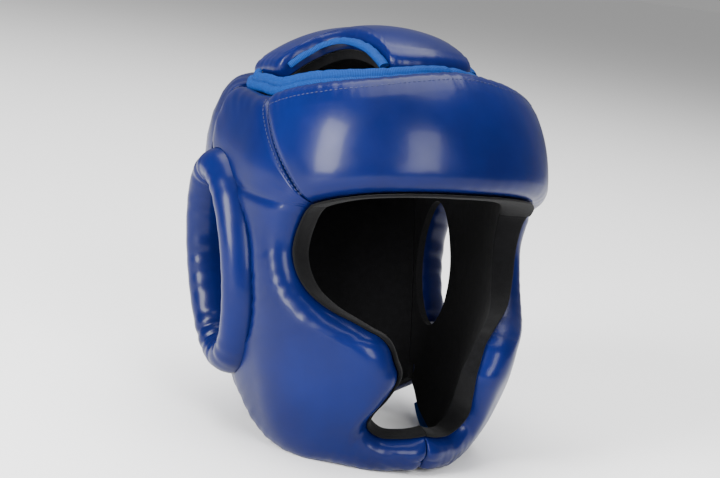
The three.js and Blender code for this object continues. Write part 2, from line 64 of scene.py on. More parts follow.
STRAP_UP = -0.16
STRAP_RADIUS = 0.54 * HEAD_DEPTH
GAP = 0.3
LINING_GAP = 0.5
DOME = 0.05
WALL = 0.22
ROLL_POWER = 2.3
BROW_POWER = 2.9

# How the guard rests: tipped back, then moved over the middle of the floor
REST_TILT = radians(16.4903)
REST_MIDDLE = 24.918
REST_FLOOR = -108.022

# The camera, in the guard's upright frame
CAMERA_TURN = radians(-33)
CAMERA_RISE = radians(-3)
CAMERA_AWAY = 1000
CAMERA_AIM = 16
CAMERA_ASIDE = -10.5
LENS = 81
SENSOR = 36

# Head form: degrees up, reach to the side, front and back, roundness of front and back
FORM = np.array([
    [-90, 1.64, 1.64, 1.64, 2.0, 2.0],
    [-75, 1.59, 1.56, 1.65, 1.9, 2.0],
    [-60, 1.42, 1.385, 1.68, 1.7, 2.1],
    [-45, 1.205, 1.28, 1.5, 1.65, 2.25],
    [-30, 1.064, 1.18, 1.34, 1.75, 2.2],
    [-15, 1.006, 1.103, 1.265, 1.9, 2.1],
    [0, 1.0, 1.077, 1.256, 2.0, 2.1],
    [15, 1.038, 1.128, 1.4, 2.05, 2.2],
    [30, 1.158, 1.269, 1.62, 2.1, 2.5],
    [45, 1.352, 1.462, 1.83, 2.1, 2.65],
    [60, 1.59, 1.59, 1.855, 2.0, 2.25],
    [75, 1.71, 1.695, 1.81, 2.0, 2.1],
    [90, 1.745, 1.745, 1.745, 2.0, 2.0],
])

# Brow band: bottom edge, top edge, thickness and lining lip
BROW_ROWS = np.array([
    [56.5, 21.6, 82.5, 54.0, 0.84, 0.62],
    [50.5, 22.6, 67.0, 54.2, 0.95, 0.64],
    [40.0, 23.5, 50.0, 53.6, 1.0, 0.66],
    [27.0, 23.7, 33.0, 53.2, 1.0, 0.68],
    [13.5, 23.6, 16.0, 54.2, 1.0, 0.68],
    [0, 23.5, 0, 55.2, 1.0, 0.68],
])

# Side pad: edge at the face, outer edge, thickness, lip and reach of the lining at the ear
SIDE_ROWS = np.array([
    [0, -64.5, 0, -73.5, 0.72, 0.2, 0],
    [15, -66.3, 18, -74.3, 0.72, 0.2, 0],
    [31, -66.5, 42, -74.5, 0.74, 0.24, 0],
    [40.3, -63.3, 62, -72.5, 0.76, 0.34, 0],
    [37.8, -59, 77, -70, 0.8, 0.4, 0],
    [29.5, -53, 90, -67.5, 0.86, 0.34, 0],
    [23.7, -45.3, 101, -64.5, 0.92, 0.24, 0],
    [25.8, -39.9, 110, -60.8, 0.98, 0.14, 0],
    [28.5, -34.5, 117, -56.3, 0.96, 0.06, 0],
    [32.5, -31, 122, -50.5, 0.93, 0.06, 0],
    [38, -28.7, 125, -44, 0.93, 0.06, 0],
    [45, -25.3, 115, -37, 0.94, 0.1, 1],
    [52, -21.8, 103, -33, 0.96, 0.18, 1],
    [58, -17.4, 95.5, -26, 0.95, 0.28, 1],
    [63, -12.2, 91.5, -17, 0.94, 0.36, 1],
    [66.5, -5, 90, -7, 0.93, 0.44, 1],
    [67.7, 3, 89.5, 4, 0.92, 0.48, 1],
    [66, 10, 91, 13, 0.93, 0.52, 1],
    [63, 15.7, 95, 21.5, 0.95, 0.56, 1],
    [60.8, 18.6, 101, 28, 0.97, 0.6, 1],
    [59.2, 20, 109, 33.5, 0.94, 0.64, 1],
    [58.2, 20.6, 119, 38, 0.96, 0.66, 0.6],
    [57.6, 21, 126.5, 42.5, 0.98, 0.68, 0],
    [57.2, 21.3, 126.5, 49, 1.0, 0.7, 0],
    [57, 21.5, 121, 54.6, 1.02, 0.72, 0],
    [56.8, 21.4, 103, 55.4, 1.03, 0.74, 0],
    [56.5, 21.6, 82.5, 54.0, 1.03, 0.76, 0],
])

# Edge of the crown from the front tongue over a vent to the back
CROWN_ROWS = np.array([
    [0, 60.2], [12, 60.2], [22, 60.3], [27, 61.5], [30, 65], [36, 69.5], [46, 73], [60, 75.5],
    [75, 75.8], [88, 73.5], [95, 69], [99, 64.5], [104, 61.6], [115, 60.6], [124, 59.4],
    [133, 57.4], [148, 57], [164, 57], [180, 57],
])
VENT_START = 3
VENT_END = 11

# Back pad from the ear ring to the middle of the back
BACK_ROWS = np.array([
    [128, -44.5, 128, 55.8, 0.92],
    [140, -46, 140, 56, 1.0],
    [153, -46.5, 153, 56, 1.0],
    [166, -46.5, 166, 56, 1.0],
    [180, -46.5, 180, 56, 1.0],
])

RING_OUT = 1.075
RING_BACK = 0.2
RING_UP = 0.019
RING_TURN_OUT = radians(8)
RING_LEAN = radians(4)
BROW_TAPE_HEIGHT = 0.36
JAW_TAPE = (0.13, 0.34)


# Curves and the head form
def blend(rows, share):
    """Rows of a table at shares of its length, on a smooth curve."""
    place = np.clip(share, 0, 1) * (len(rows) - 1)
    i = np.minimum(np.floor(place).astype(int), len(rows) - 2)
    u = (place - i)[..., None]
    a, b, c, d = (rows[np.clip(i + k, 0, len(rows) - 1)] for k in (-1, 0, 1, 2))
    return 0.5 * (2 * b + (c - a) * u + (2 * a - 5 * b + 4 * c - d) * u ** 2
                  + (3 * b - a - 3 * c + d) * u ** 3)


SIDE_UNIT = HEAD_WIDTH / 2
DEPTH_UNIT = HEAD_DEPTH / (FORM[6, 2] + FORM[6, 3])
RISE_UNIT = CROWN_RISE / FORM[-1, 2]


def form_point(az, el):
    az, el = np.broadcast_arrays(np.asarray(az, float), np.asarray(el, float))
    row = blend(FORM, (el + 90) / 180)
    ahead, aside = np.cos(np.radians(az)), np.sin(np.radians(az))
    front = ahead > 0
    reach = np.where(front, row[..., 2], row[..., 3])
    power = np.where(front, row[..., 4], row[..., 5])
    radius = ((np.abs(ahead) / reach) ** power + (np.abs(aside) / row[..., 1]) ** power) ** (-1 / power)
    level = np.cos(np.radians(el))
    return np.stack([-SIDE_UNIT * radius * aside * level, -DEPTH_UNIT * radius * ahead * level,
                     RISE_UNIT * radius * np.sin(np.radians(el))], -1)


def unit(v):
    return v / np.maximum(np.linalg.norm(v, axis=-1, keepdims=True), 1e-9)


SLOPE_STEP = 0.5


def form_normal(az, el):
    up = np.minimum(el, 90 - 2 * SLOPE_STEP)
    along = form_point(az + SLOPE_STEP, up) - form_point(az - SLOPE_STEP, up)
    rise = form_point(az, up + SLOPE_STEP) - form_point(az, up - SLOPE_STEP)
    normal = unit(np.cross(rise, along))
    inward = np.sum(normal * form_point(az, el), -1, keepdims=True) < 0
    normal = np.where(inward, -normal, normal)
    return np.where((np.asarray(el) > 90 - SLOPE_STEP)[..., None], [0.0, 0.0, 1.0], normal)


def on_form(az, el, height):
    return form_point(az, el) + form_normal(az, el) * np.asarray(height)[..., None]


def run_length(ends):
    """Length over the form of the straight runs whose ends are az, el, az, el."""
    shares = np.linspace(0, 1, 17)
    az = ends[:, 0:1] + (ends[:, 2:3] - ends[:, 0:1]) * shares
    el = ends[:, 1:2] + (ends[:, 3:4] - ends[:, 1:2]) * shares
    return np.sum(np.linalg.norm(np.diff(form_point(az, el), axis=1), axis=2), axis=1)


def over_runs(ends, across, height):
    """Points at distances across the runs and heights over the form."""
    share = across / run_length(ends)[:, None]
    az = ends[:, 0:1] + (ends[:, 2:3] - ends[:, 0:1]) * share
    el = ends[:, 1:2] + (ends[:, 3:4] - ends[:, 1:2]) * share
    return on_form(az, el, height)


def mirrored(rows):
    other = rows[:-1][::-1].copy()
    other[:, [0, 2]] *= -1
    return np.vstack([rows, other])


def ripple(place, pitch, seed):
    """Uneven waves between about -1 and 1, roughly a pitch apart."""
    dice = np.random.default_rng(seed)
    total = 0
    for _ in range(5):
        total = total + np.sin(2 * pi * place / (pitch * dice.uniform(0.6, 1.7)) + dice.uniform(0, 2 * pi))
    return total / 3


def tapered(count):
    """Shares from 0 to 1, closer together at both ends."""
    u = np.linspace(0, 1, count + 1)
    return 0.5 * (u + 0.5 - 0.5 * np.cos(pi * u))


# Meshes
def place(points):
    """Tips the upright frame into the resting one, in metres, and flattens it on the floor."""
    x, y, z = points[..., 0], points[..., 1], points[..., 2]
    back = y * cos(REST_TILT) + z * sin(REST_TILT) - REST_MIDDLE
    up = -y * sin(REST_TILT) + z * cos(REST_TILT) - REST_FLOOR
    return np.stack([x, back, np.maximum(up, 0)], -1) / 1000


def new_mesh(name, points, faces, crisp=50, weave=None):
    mesh = bpy.data.meshes.new(name)
    mesh.from_pydata(place(points).tolist(), [], faces)
    if weave is not None:
        layer = mesh.uv_layers.new(name="weave")
        corner = np.empty(len(mesh.loops), int)
        mesh.loops.foreach_get("vertex_index", corner)
        layer.data.foreach_set("uv", weave[corner].ravel())
    mesh.validate()
    mesh.shade_smooth()
    mesh.set_sharp_from_angle(angle=radians(crisp))
    piece = bpy.data.objects.new(name, mesh)
    bpy.context.scene.collection.objects.link(piece)
    outwards(piece)
    return piece


def outwards(piece):
    """Turns a closed body's faces outwards."""
    mesh = piece.data
    mesh.calc_loop_triangles()
    corners = np.array([t.vertices for t in mesh.loop_triangles])
    spot = np.array([v.co for v in mesh.vertices])
    a, b, c = spot[corners[:, 0]], spot[corners[:, 1]], spot[corners[:, 2]]
    if np.sum(a * np.cross(b, c)) < 0:
        mesh.flip_normals()


def skin(name, loops, closed=False, weave=None, crisp=50):
    """Closed body over loops of equal size: an array of loops, points and coordinates."""
    rows, size = loops.shape[:2]
    faces = []
    for r in range(rows if closed else rows - 1):
        here, there = r * size, ((r + 1) % rows) * size
        for i in range(size):
            j = (i + 1) % size
            faces.append((here + i, here + j, there + j, there + i))
    if not closed:
        faces.append(tuple(range(size)))
        faces.append(tuple(range(rows * size - 1, (rows - 1) * size - 1, -1)))
    flat = None if weave is None else weave.reshape(-1, 2)
    return new_mesh(name, loops.reshape(-1, 3), faces, crisp, flat)


def cut(piece, *cutters):
    for cutter in cutters:
        change = piece.modifiers.new("cut", "BOOLEAN")
        change.operation = "DIFFERENCE"
        change.solver = "EXACT"
        change.object = cutter
    bpy.context.view_layer.update()
    seen = piece.evaluated_get(bpy.context.evaluated_depsgraph_get())
    mesh = bpy.data.meshes.new_from_object(seen)
    piece.modifiers.clear()
    piece.data = mesh
    mesh.shade_smooth()
    mesh.set_sharp_from_angle(angle=radians(50))


def flipped(piece, name):
    """Mirror image of a right piece, for the left."""
    mesh = piece.data.copy()
    mesh.transform(Matrix.Scale(-1, 4, (1, 0, 0)))
    mesh.flip_normals()
    other = bpy.data.objects.new(name, mesh)
    bpy.context.scene.collection.objects.link(other)
    return other


# Sections
ROLL_STEPS = 9
FLATS = 20


def roll_shares(power=ROLL_POWER):
    turn = (pi / 2) * np.arange(ROLL_STEPS) / ROLL_STEPS
    return 1 - np.cos(turn) ** (2 / power), WALL + (1 - WALL) * np.sin(turn) ** (2 / power)


def pad_loops(ends, thick, roll_width, detail=None, power=ROLL_POWER):
    """Sections of a pad with rounded edges, lowered by a detail of travel and distances."""
    length = run_length(ends)[:, None]
    roll = np.minimum(roll_width, 0.46 * length)
    aside, tall = roll_shares(power)
    flat = roll + (length - 2 * roll) * np.linspace(0, 1, FLATS + 1)
    across = np.hstack([roll * aside, flat, length - roll * aside[::-1]])
    ones = np.ones_like(length)
    height = thick[:, None] * np.hstack([ones * tall, np.ones_like(flat), ones * tall[::-1]])
    middle = 2 * across / length - 1
    height = height * (1 + DOME * (1 - middle ** 2))
    if detail is not None:
        mid = over_runs(ends, length / 2, 0 * length)[:, 0]
        travel = np.concatenate([[0], np.cumsum(np.linalg.norm(np.diff(mid, axis=0), axis=1))])[:, None]
        height = np.maximum(height - detail(travel, across, length - across), 2 * GAP)
    under = np.hstack([0 * length, flat[:, ::4], length])[:, ::-1]
    top = over_runs(ends, across, height)
    base = over_runs(ends, under, np.full_like(under, GAP))
    return np.concatenate([top, base], axis=1)


def chaikin(profile, rounds=3):
    for _ in range(rounds):
        a, b = profile[:-1], profile[1:]
        middle = np.stack([0.75 * a + 0.25 * b, 0.25 * a + 0.75 * b], 1).reshape(-1, *profile.shape[1:])
        profile = np.concatenate([profile[:1], middle, profile[-1:]])
    return profile


def lining_loops(ends, lip, reach):
    """Sections of the lining: a rolled lip at the opening, then a plain layer under the pad."""
    length = run_length(ends)
    rim = np.maximum(lip, 2 * GAP)
    one = np.ones_like(length)
    across = np.stack([-0.75 * BEAD * one, -BEAD * one, -BEAD * one, -0.6 * BEAD * one,
                       -2 * GAP * one, -2 * GAP * one])
    height = np.stack([-0.85 * LINING * one, -0.3 * LINING * one, rim - 0.3 * BEAD, rim,
                       rim - 0.2 * BEAD, -LINING_GAP * one])
    across, height = chaikin(across).T, chaikin(height).T
    layer = length[:, None] * np.linspace(0.04, 1, 16) * (1 + (reach[:, None] - 1) * np.linspace(0, 1, 16))
    under = np.hstack([layer[:, ::-1], -0.5 * BEAD * one[:, None]])
    across = np.hstack([across, layer, under])
    height = np.hstack([height, np.full_like(layer, -LINING_GAP), np.full_like(under, -LINING)])
    return over_runs(ends, across, height)


# Materials
def shade(code):
    """Linear colour of a hex code."""
    part = np.array([int(code[i:i + 2], 16) / 255 for i in (1, 3, 5)])
    part = np.where(part <= 0.04045, part / 12.92, ((part + 0.055) / 1.055) ** 2.4)
    return (*part.tolist(), 1.0)


class Finish:
    """A material with one principled shader, to which nodes are added."""

    def __init__(self, name, **values):
        self.material = bpy.data.materials.new(name)
        self.material.use_nodes = True
        self.tree = self.material.node_tree
        self.shader = self.tree.nodes["Principled BSDF"]
        for key, value in values.items():
            self.shader.inputs[key.replace("_", " ")].default_value = value

    def add(self, kind, settings=None, **inputs):
        node = self.tree.nodes.new(kind)
        for key, value in (settings or {}).items():
            setattr(node, key, value)
        for key, value in inputs.items():
            socket = node.inputs[key.replace("_", " ")]
            if isinstance(value, bpy.types.NodeSocket):
                self.tree.links.new(value, socket)
            else:
                socket.default_value = value
        return node

    def to_shader(self, name, socket):
        self.tree.links.new(socket, self.shader.inputs[name])

    def noise(self, scale, detail=2.0):
        where = self.add("ShaderNodeTexCoord").outputs["Object"]
        return self.add("ShaderNodeTexNoise", Vector=where, Scale=scale, Detail=detail).outputs["Fac"]

    def between(self, factor, low, high, first, second):
        """Colour that goes from first to second as the factor goes from low to high."""
        ramp = self.add("ShaderNodeValToRGB", Fac=factor)
        ramp.color_ramp.elements[0].position, ramp.color_ramp.elements[1].position = low, high
        ramp.color_ramp.elements[0].color, ramp.color_ramp.elements[1].color = first, second
        return ramp.outputs["Color"]

    def scaled(self, factor, low, high):
        spread = self.add("ShaderNodeMapRange", Value=factor, To_Min=low, To_Max=high)
        return spread.outputs["Result"]

    def bump(self, height, strength, distance, under=None):
        more = {} if under is None else {"Normal": under}
        return self.add("ShaderNodeBump", Height=height, Strength=strength, Distance=distance,
                        **more).outputs["Normal"]


def glossy_leather():
    look = Finish("glossy blue leather", Coat_Weight=0.07, Coat_Roughness=0.12, Specular_IOR_Level=0.12)
    tone = look.between(look.noise(14, 4), 0.3, 0.7, shade("#030B38"), shade("#04124C"))
    look.to_shader("Base Color", tone)
    look.to_shader("Roughness", look.scaled(look.noise(90, 4), 0.25, 0.38))
    where = look.add("ShaderNodeTexCoord").outputs["Object"]
    cells = look.add("ShaderNodeTexVoronoi", {"feature": "DISTANCE_TO_EDGE"}, Vector=where, Scale=850)
    grain = look.bump(cells.outputs["Distance"], 0.1, 0.0003)
    fine = look.bump(look.noise(1300, 3), 0.07, 0.0002, grain)
    look.to_shader("Normal", look.bump(look.noise(70, 2), 0.06, 0.0012, fine))
    return look.material


def brushed_lining():
    look = Finish("brushed black lining", Roughness=0.95, Sheen_Weight=0.04, Specular_IOR_Level=0.15)
    tone = look.between(look.noise(260, 4), 0.3, 0.75, shade("#020203"), shade("#070709"))
    look.to_shader("Base Color", tone)
    soft = look.bump(look.noise(160, 3), 0.3, 0.001)
    look.to_shader("Normal", look.bump(look.noise(1500, 4), 0.5, 0.0005, soft))
    return look.material


def woven_tape():
    look = Finish("woven blue binding tape", Roughness=0.7, Specular_IOR_Level=0.12)
    where = look.add("ShaderNodeUVMap", {"uv_map": "weave"}).outputs["UV"]
    rib = look.add("ShaderNodeTexWave", {"bands_direction": "X"}, Vector=where, Scale=3.2, Distortion=0.4)
    cross = look.add("ShaderNodeTexWave", {"bands_direction": "Y"}, Vector=where, Scale=2.4)
    # The tape's colour follows its ribs, darker in the grooves and lighter on the tops: painted shade laid
    # over the rib bumps
    tone = look.between(rib.outputs["Fac"], 0.0, 1.0, shade("#011E52"), shade("#023C80"))
    look.to_shader("Base Color", tone)
    first = look.bump(rib.outputs["Fac"], 0.35, 0.0003)
    look.to_shader("Normal", look.bump(cross.outputs["Fac"], 0.25, 0.0002, first))
    return look.material


def blue_thread():
    look = Finish("dark blue thread", Roughness=0.6)
    look.to_shader("Base Color", look.between(look.noise(2500), 0.3, 0.7, shade("#040D2C"), shade("#0C1C50")))
    return look.material


LEATHER = glossy_leather()
BLACK = brushed_lining()
TAPE = woven_tape()
THREAD = blue_thread()


def belongs(piece, material, *nodes, fill=None):
    """Gives a piece its material, hides the imported parts it stands for and hangs it on the body it rides on.
    """
    piece.data.materials.clear()
    piece.data.materials.append(material)
    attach(piece, "root")
    if nodes:
        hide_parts(*nodes)
    return piece


# Puckers and dips of the leather
def ends_down(travel, reach, depth):
    """Depth that falls away from both sewn ends, as a rounded valley."""
    total = travel[-1]
    near = np.minimum(travel, total - travel) / reach
    return depth * (1 - np.sqrt(1 - (1 - np.clip(near, 0, 1)) ** 2))


def brow_detail(travel, low, high):
    puckers = 0.28 * ripple(travel, 5.5, 3) * np.exp(-(high / 11) ** 2)
    under = 0.16 * ripple(travel, 7, 4) * np.exp(-(low / 8) ** 2)
    groove = 0.45 * np.exp(-((high - 9.5) / 1.3) ** 2)
    return puckers + under + groove + ends_down(travel, 5, 3.2) + 0.14 * ripple(travel + low, 38, 5)


def side_detail(travel, low, high):
    total = travel[-1]
    waist = np.exp(-((travel - 0.53 * total) / (0.10 * total)) ** 2)
    folds = 0.16 * waist * ripple(travel + 0.5 * low, 8, 8) * np.exp(-((low - 9) / 9) ** 2)
    chin = 0.5 * np.exp(-(travel / 20) ** 2) * ripple(low + 0.4 * travel, 6, 9)
    edge = 0.1 * ripple(travel, 7, 10) * np.exp(-(low / 9) ** 2)
    ear = 0.35 * ripple(travel, 8, 11) * np.exp(-(high / 12) ** 2)
    return folds + chin + edge + ear + ends_down(travel, 6, 3.0) + 0.2 * ripple(travel + low, 45, 12)


def back_detail(travel, low, high):
    edge = 0.35 * ripple(travel, 9, 14) * (np.exp(-(low / 12) ** 2) + np.exp(-(high / 12) ** 2))
    ends = 0.5 * ripple(high, 9, 15) * np.exp(-(np.minimum(travel, travel[-1] - travel) / 16) ** 2)
    return edge + ends + 0.3 * ripple(travel + 0.5 * low, 50, 16)


# The pieces
def ring_frame():
    turn = Matrix.Rotation(-RING_TURN_OUT, 3, "Z") @ Matrix.Rotation(-RING_LEAN, 3, "Y")
    middle = np.array([-SIDE_UNIT * RING_OUT, HEAD_DEPTH * RING_BACK, CROWN_RISE * RING_UP])
    return [middle] + [np.array(turn @ Vector(v)) for v in ((0, -1, 0), (0, 0, 1), (-1, 0, 0))]


def ring_loops(clearance, around, about, wrinkled=False):
    middle, forward, up, out = ring_frame()
    turn = (2 * pi * np.arange(around) / around)[:, None, None]
    bend = (2 * pi * np.arange(about) / about)[None, :, None]
    centre = middle + forward * RING_HALF_LENGTH * np.cos(turn) + up * RING_HALF_HEIGHT * np.sin(turn)
    away = unit(forward * np.cos(turn) / RING_HALF_LENGTH + up * np.sin(turn) / RING_HALF_HEIGHT)
    fold = 0
    if wrinkled:
        travel = turn * 45
        inner = np.exp(-((np.cos(bend) + 1) / 0.9) ** 2)
        low = np.exp(-((turn - 1.4 * pi) / 0.55) ** 2)
        high = np.exp(-((turn - 0.5 * pi) / 0.4) ** 2)
        fold = ripple(travel, 8, 21) * (0.25 + 0.9 * low + 0.4 * high) * (0.3 + inner)
        fold = np.maximum(fold, -0.25)
    return (centre + away * (RING_TUBE + clearance - fold) * np.cos(bend)
            + out * (RING_DEPTH + clearance - fold) * np.sin(bend))


def plug_loops():
    middle, forward, up, out = ring_frame()
    turn = (2 * pi * np.arange(48) / 48)[:, None]
    oval = (forward * -(RING_HALF_LENGTH - RING_TUBE - EAR_LIP) * np.cos(turn)
            + up * (RING_HALF_HEIGHT - RING_TUBE - EAR_LIP) * np.sin(turn))
    return np.stack([middle + out * depth + oval for depth in (-3 * RING_DEPTH, 2 * RING_DEPTH)])


def core_loops():
    """The head form grown by the gap, closed below, for cutting the rings."""
    az = np.arange(0, 360, 5.0)[:, None]
    el = np.linspace(90, -80, 36)[None, :]
    az, el = np.broadcast_arrays(az, el)
    side = on_form(az, el, np.full(az.shape, GAP))
    bottom = side[:, -1:].copy()
    bottom[..., :2] = 0
    return np.concatenate([side, bottom], axis=1)


ring_cutter = skin("ring_cutter", ring_loops(GAP, 72, 28), closed=True)
left_cutter = flipped(ring_cutter, "left_ring_cutter")
plug = skin("plug", plug_loops())
left_plug = flipped(plug, "left_plug")
core = skin("core", core_loops(), closed=True)

brow_shares = tapered(190)
brow_rows = blend(mirrored(BROW_ROWS), brow_shares)
brow_thick = BROW_PAD * brow_rows[:, 4]
brow = skin("forehead_pad_leather",
            pad_loops(brow_rows[:, :4], brow_thick, PAD_ROLL, brow_detail, BROW_POWER))
belongs(brow, LEATHER, "forehead_pad", fill=0.9)
brow_lip = skin("brow_lining_cloth", lining_loops(brow_rows[:, :4], BROW_PAD * brow_rows[:, 5],
                                                  np.ones(len(brow_rows))))
belongs(brow_lip, BLACK, "brow_lining", fill=0.6)

side_shares = tapered(300)
side_rows = blend(SIDE_ROWS, side_shares)
SEAM_TURN = np.degrees(GAP / SIDE_UNIT)
side_ends = side_rows[:, :4].copy()
near_end = np.maximum(0, 1 - side_shares / 0.03) + np.maximum(0, 1 - (1 - side_shares) / 0.03)
side_ends[:, [0, 2]] += (SEAM_TURN * near_end)[:, None]
side_thick = SIDE_PAD * side_rows[:, 4]
side = skin("side_pad_right_leather", pad_loops(side_ends, side_thick, PAD_ROLL, side_detail))
cut(side, ring_cutter)
belongs(side, LEATHER, "side_pad_right", fill=0.9)
belongs(flipped(side, "side_pad_left_leather"), LEATHER, "side_pad_left", fill=0.9)

past = np.maximum(0, BACK_ROWS[0, 0] - 2 * SEAM_TURN - side_ends[:, 2])
reach = 1 + np.clip(side_rows[:, 6], 0, 1) * past / np.maximum(side_ends[:, 2] - side_ends[:, 0], 1)
side_lip = skin("side_lining_right_cloth", lining_loops(side_ends, SIDE_PAD * side_rows[:, 5], reach))
cut(side_lip, plug)
belongs(side_lip, BLACK, "side_lining_right", fill=0.6)
belongs(flipped(side_lip, "side_lining_left_cloth"), BLACK, "side_lining_left", fill=0.6)

back_table = mirrored(BACK_ROWS)
back_table[:, [0, 2]] %= 360
back_rows = blend(back_table, tapered(120))
back_thick = BACK_PAD * back_rows[:, 4]
back = skin("back_pad_leather", pad_loops(back_rows[:, :4], back_thick, PAD_ROLL, back_detail))
cut(back, ring_cutter, left_cutter)
belongs(back, LEATHER, "back_pad", fill=0.85)


def plain_layer(ends, steps=24):
    """Sections of a lining without a lip."""
    length = run_length(ends)[:, None]
    across = length * np.linspace(0, 1, steps)
    top = over_runs(ends, across, np.full_like(across, -LINING_GAP))
    base = over_runs(ends, across[:, ::-1], np.full_like(across, -LINING))
    return np.concatenate([top, base], axis=1)


back_lining = skin("back_lining_cloth", plain_layer(back_rows[:, :4]))
cut(back_lining, plug, left_plug)
belongs(back_lining, BLACK, "back_lining", fill=0.6)

half = CROWN_ROWS
whole = np.vstack([half, np.stack([360 - half[1:-1, 0], half[1:-1, 1]], 1)[::-1], [[360, half[0, 1]]]])
edge = blend(whole, np.linspace(0, 1, 217))[:-1]
crown_ends = np.stack([edge[:, 0], np.full(len(edge), 90.0), edge[:, 0], edge[:, 1]], 1)


def crown_loops():
    length = run_length(crown_ends)[:, None]
    aside, tall = roll_shares()
    flat = (length - CROWN_ROLL) * np.linspace(0, 1, 26)
    rim = length - CROWN_ROLL * aside[::-1]
    across = np.hstack([flat, rim])
    ones = np.ones_like(length)
    height = CROWN_PAD * np.hstack([np.ones_like(flat), ones * tall[::-1]])
    travel = np.cumsum(np.full(len(edge), 2.4))[:, None]
    out = length - across
    pucker = 0.3 * ripple(travel, 6, 31) * np.exp(-(out / 9) ** 2)
    height = height - pucker - 0.5 * np.exp(-((out - 9) / 1.3) ** 2)
    under = np.hstack([flat, length])[:, ::-1]
    return np.concatenate([over_runs(crown_ends, across, height),
                           over_runs(crown_ends, under, np.full_like(under, GAP))], axis=1)


crown = skin("crown_pad_leather", crown_loops(), closed=True)
belongs(crown, LEATHER, "crown_pad", fill=0.8)
# Behind the vents the crown's lining reaches down to the back lining and closes the seam
LINING_DROP_TO = 56.8
drop = np.interp(edge[:, 0], [97, 106, 254, 263], [0, 1, 1, 0])
lining_ends = crown_ends.copy()
lining_ends[:, 3] -= drop * np.maximum(edge[:, 1] - LINING_DROP_TO, 0)
crown_lining = skin("crown_lining_cloth", plain_layer(lining_ends), closed=True)
belongs(crown_lining, BLACK, "crown_lining", fill=0.6)

ring = skin("ear_ring_right_leather", ring_loops(0, 160, 40, wrinkled=True), closed=True)
cut(ring, core)
belongs(ring, LEATHER, "ear_ring_right", fill=0.95)
belongs(flipped(ring, "ear_ring_left_leather"), LEATHER, "ear_ring_left", fill=0.95)


# Binding tapes
def tape(name, rows, count, beside, height, ridges, seed):
    share = np.linspace(0, 1, count + 1)
    small = 0.002
    row = blend(rows, share)
    base = on_form(row[:, 0], row[:, 1], np.full(count + 1, float(height)))
    out = form_normal(row[:, 0], row[:, 1])
    ahead, behind = (blend(rows, np.clip(share + d, 0, 1)) for d in (small, -small))
    along = unit(on_form(ahead[:, 0], ahead[:, 1], np.full(count + 1, float(height)))
                 - on_form(behind[:, 0], behind[:, 1], np.full(count + 1, float(height))))
    across = np.cross(out, along)
    centre = base + across * beside
    level = unit(np.cross(along, across))
    steps = 10 * ridges
    width = TAPE_WIDTH * ridges
    part = np.linspace(0, 1, steps + 1)
    swell = 0.1 + 0.9 * np.abs(np.sin(pi * ridges * part)) ** 0.6
    travel = np.concatenate([[0], np.cumsum(np.linalg.norm(np.diff(centre, axis=0), axis=1))])
    fold = (0.3 * ripple(travel[:, None] + 2 * part[None, :], 7, seed)
            + 0.25 * ripple(travel[:, None], 19, seed + 1))
    x = np.hstack([width * (part - 0.5), [0.5 * width, -0.5 * width]])
    top = 0.5 * TAPE_THICKNESS * swell[None, :] - np.maximum(fold, -0.2)
    y = np.hstack([top, np.full((count + 1, 2), -0.5 * TAPE_THICKNESS)])
    points = (centre[:, None] + across[:, None] * x[None, :, None] + level[:, None] * y[..., None])
    around = np.concatenate([part * width, [width, 0]]) / 10
    weave = np.stack(np.broadcast_arrays(travel[:, None] / 10, around[None, :]), -1)
    return skin(name, points, weave=weave, crisp=70)


tucked_end = [[126.8, 55.4]]
top_edge = np.vstack([tucked_end, SIDE_ROWS[24:, 2:4], BROW_ROWS[1:, 2:4]])
top_edge = np.vstack([top_edge, (top_edge[:-1] * [-1, 1])[::-1]])
belongs(tape("brow_binding_tape", top_edge, 260, TAPE_WIDTH + 3 * GAP, BROW_PAD * BROW_TAPE_HEIGHT, 2, 41),
        TAPE, "brow_binding")
vent = tape("vent_binding_right_tape", CROWN_ROWS[VENT_START:VENT_END + 1], 120, TAPE_WIDTH / 2 + GAP,
            0.55 * CROWN_PAD, 1, 43)
belongs(vent, TAPE, "vent_binding_right")
belongs(flipped(vent, "vent_binding_left_tape"), TAPE, "vent_binding_left")
jaw_rows = blend(SIDE_ROWS[:, 2:4], np.linspace(*JAW_TAPE, 12))
jaw = tape("jaw_binding_right_tape", jaw_rows, 80, 0.6 * TAPE_WIDTH, 0.12 * SIDE_PAD, 1, 45)
belongs(jaw, TAPE, "jaw_binding_right")
belongs(flipped(jaw, "jaw_binding_left_tape"), TAPE, "jaw_binding_left")


def strap_loops(count=80):
    turn = np.degrees(STRAP_LENGTH / 2 / STRAP_RADIUS)
    halfway = np.degrees(STRAP_WIDTH / 2 / STRAP_RADIUS)
    middle = np.degrees(np.arctan2(STRAP_UP * CROWN_RISE, STRAP_RADIUS))
    az = np.linspace(180 - turn, 180 + turn, count + 1)[:, None]
    part = np.linspace(-1, 1, 21)
    under = BACK_PAD * (1 + DOME) + 4 * GAP
    rim = STRAP_THICKNESS * (1 - 0.5 * np.abs(part) ** 12)
    height = np.concatenate([under + rim, np.full(21, under)])
    share = np.concatenate([part, part[::-1]])
    return on_form(*np.broadcast_arrays(az, middle + halfway * share, height))


belongs(skin("closure_strap_leather", strap_loops()), LEATHER, "closure_strap")


# Stitches
STITCH_LENGTH = 3.0
STITCH_HALF = 0.36


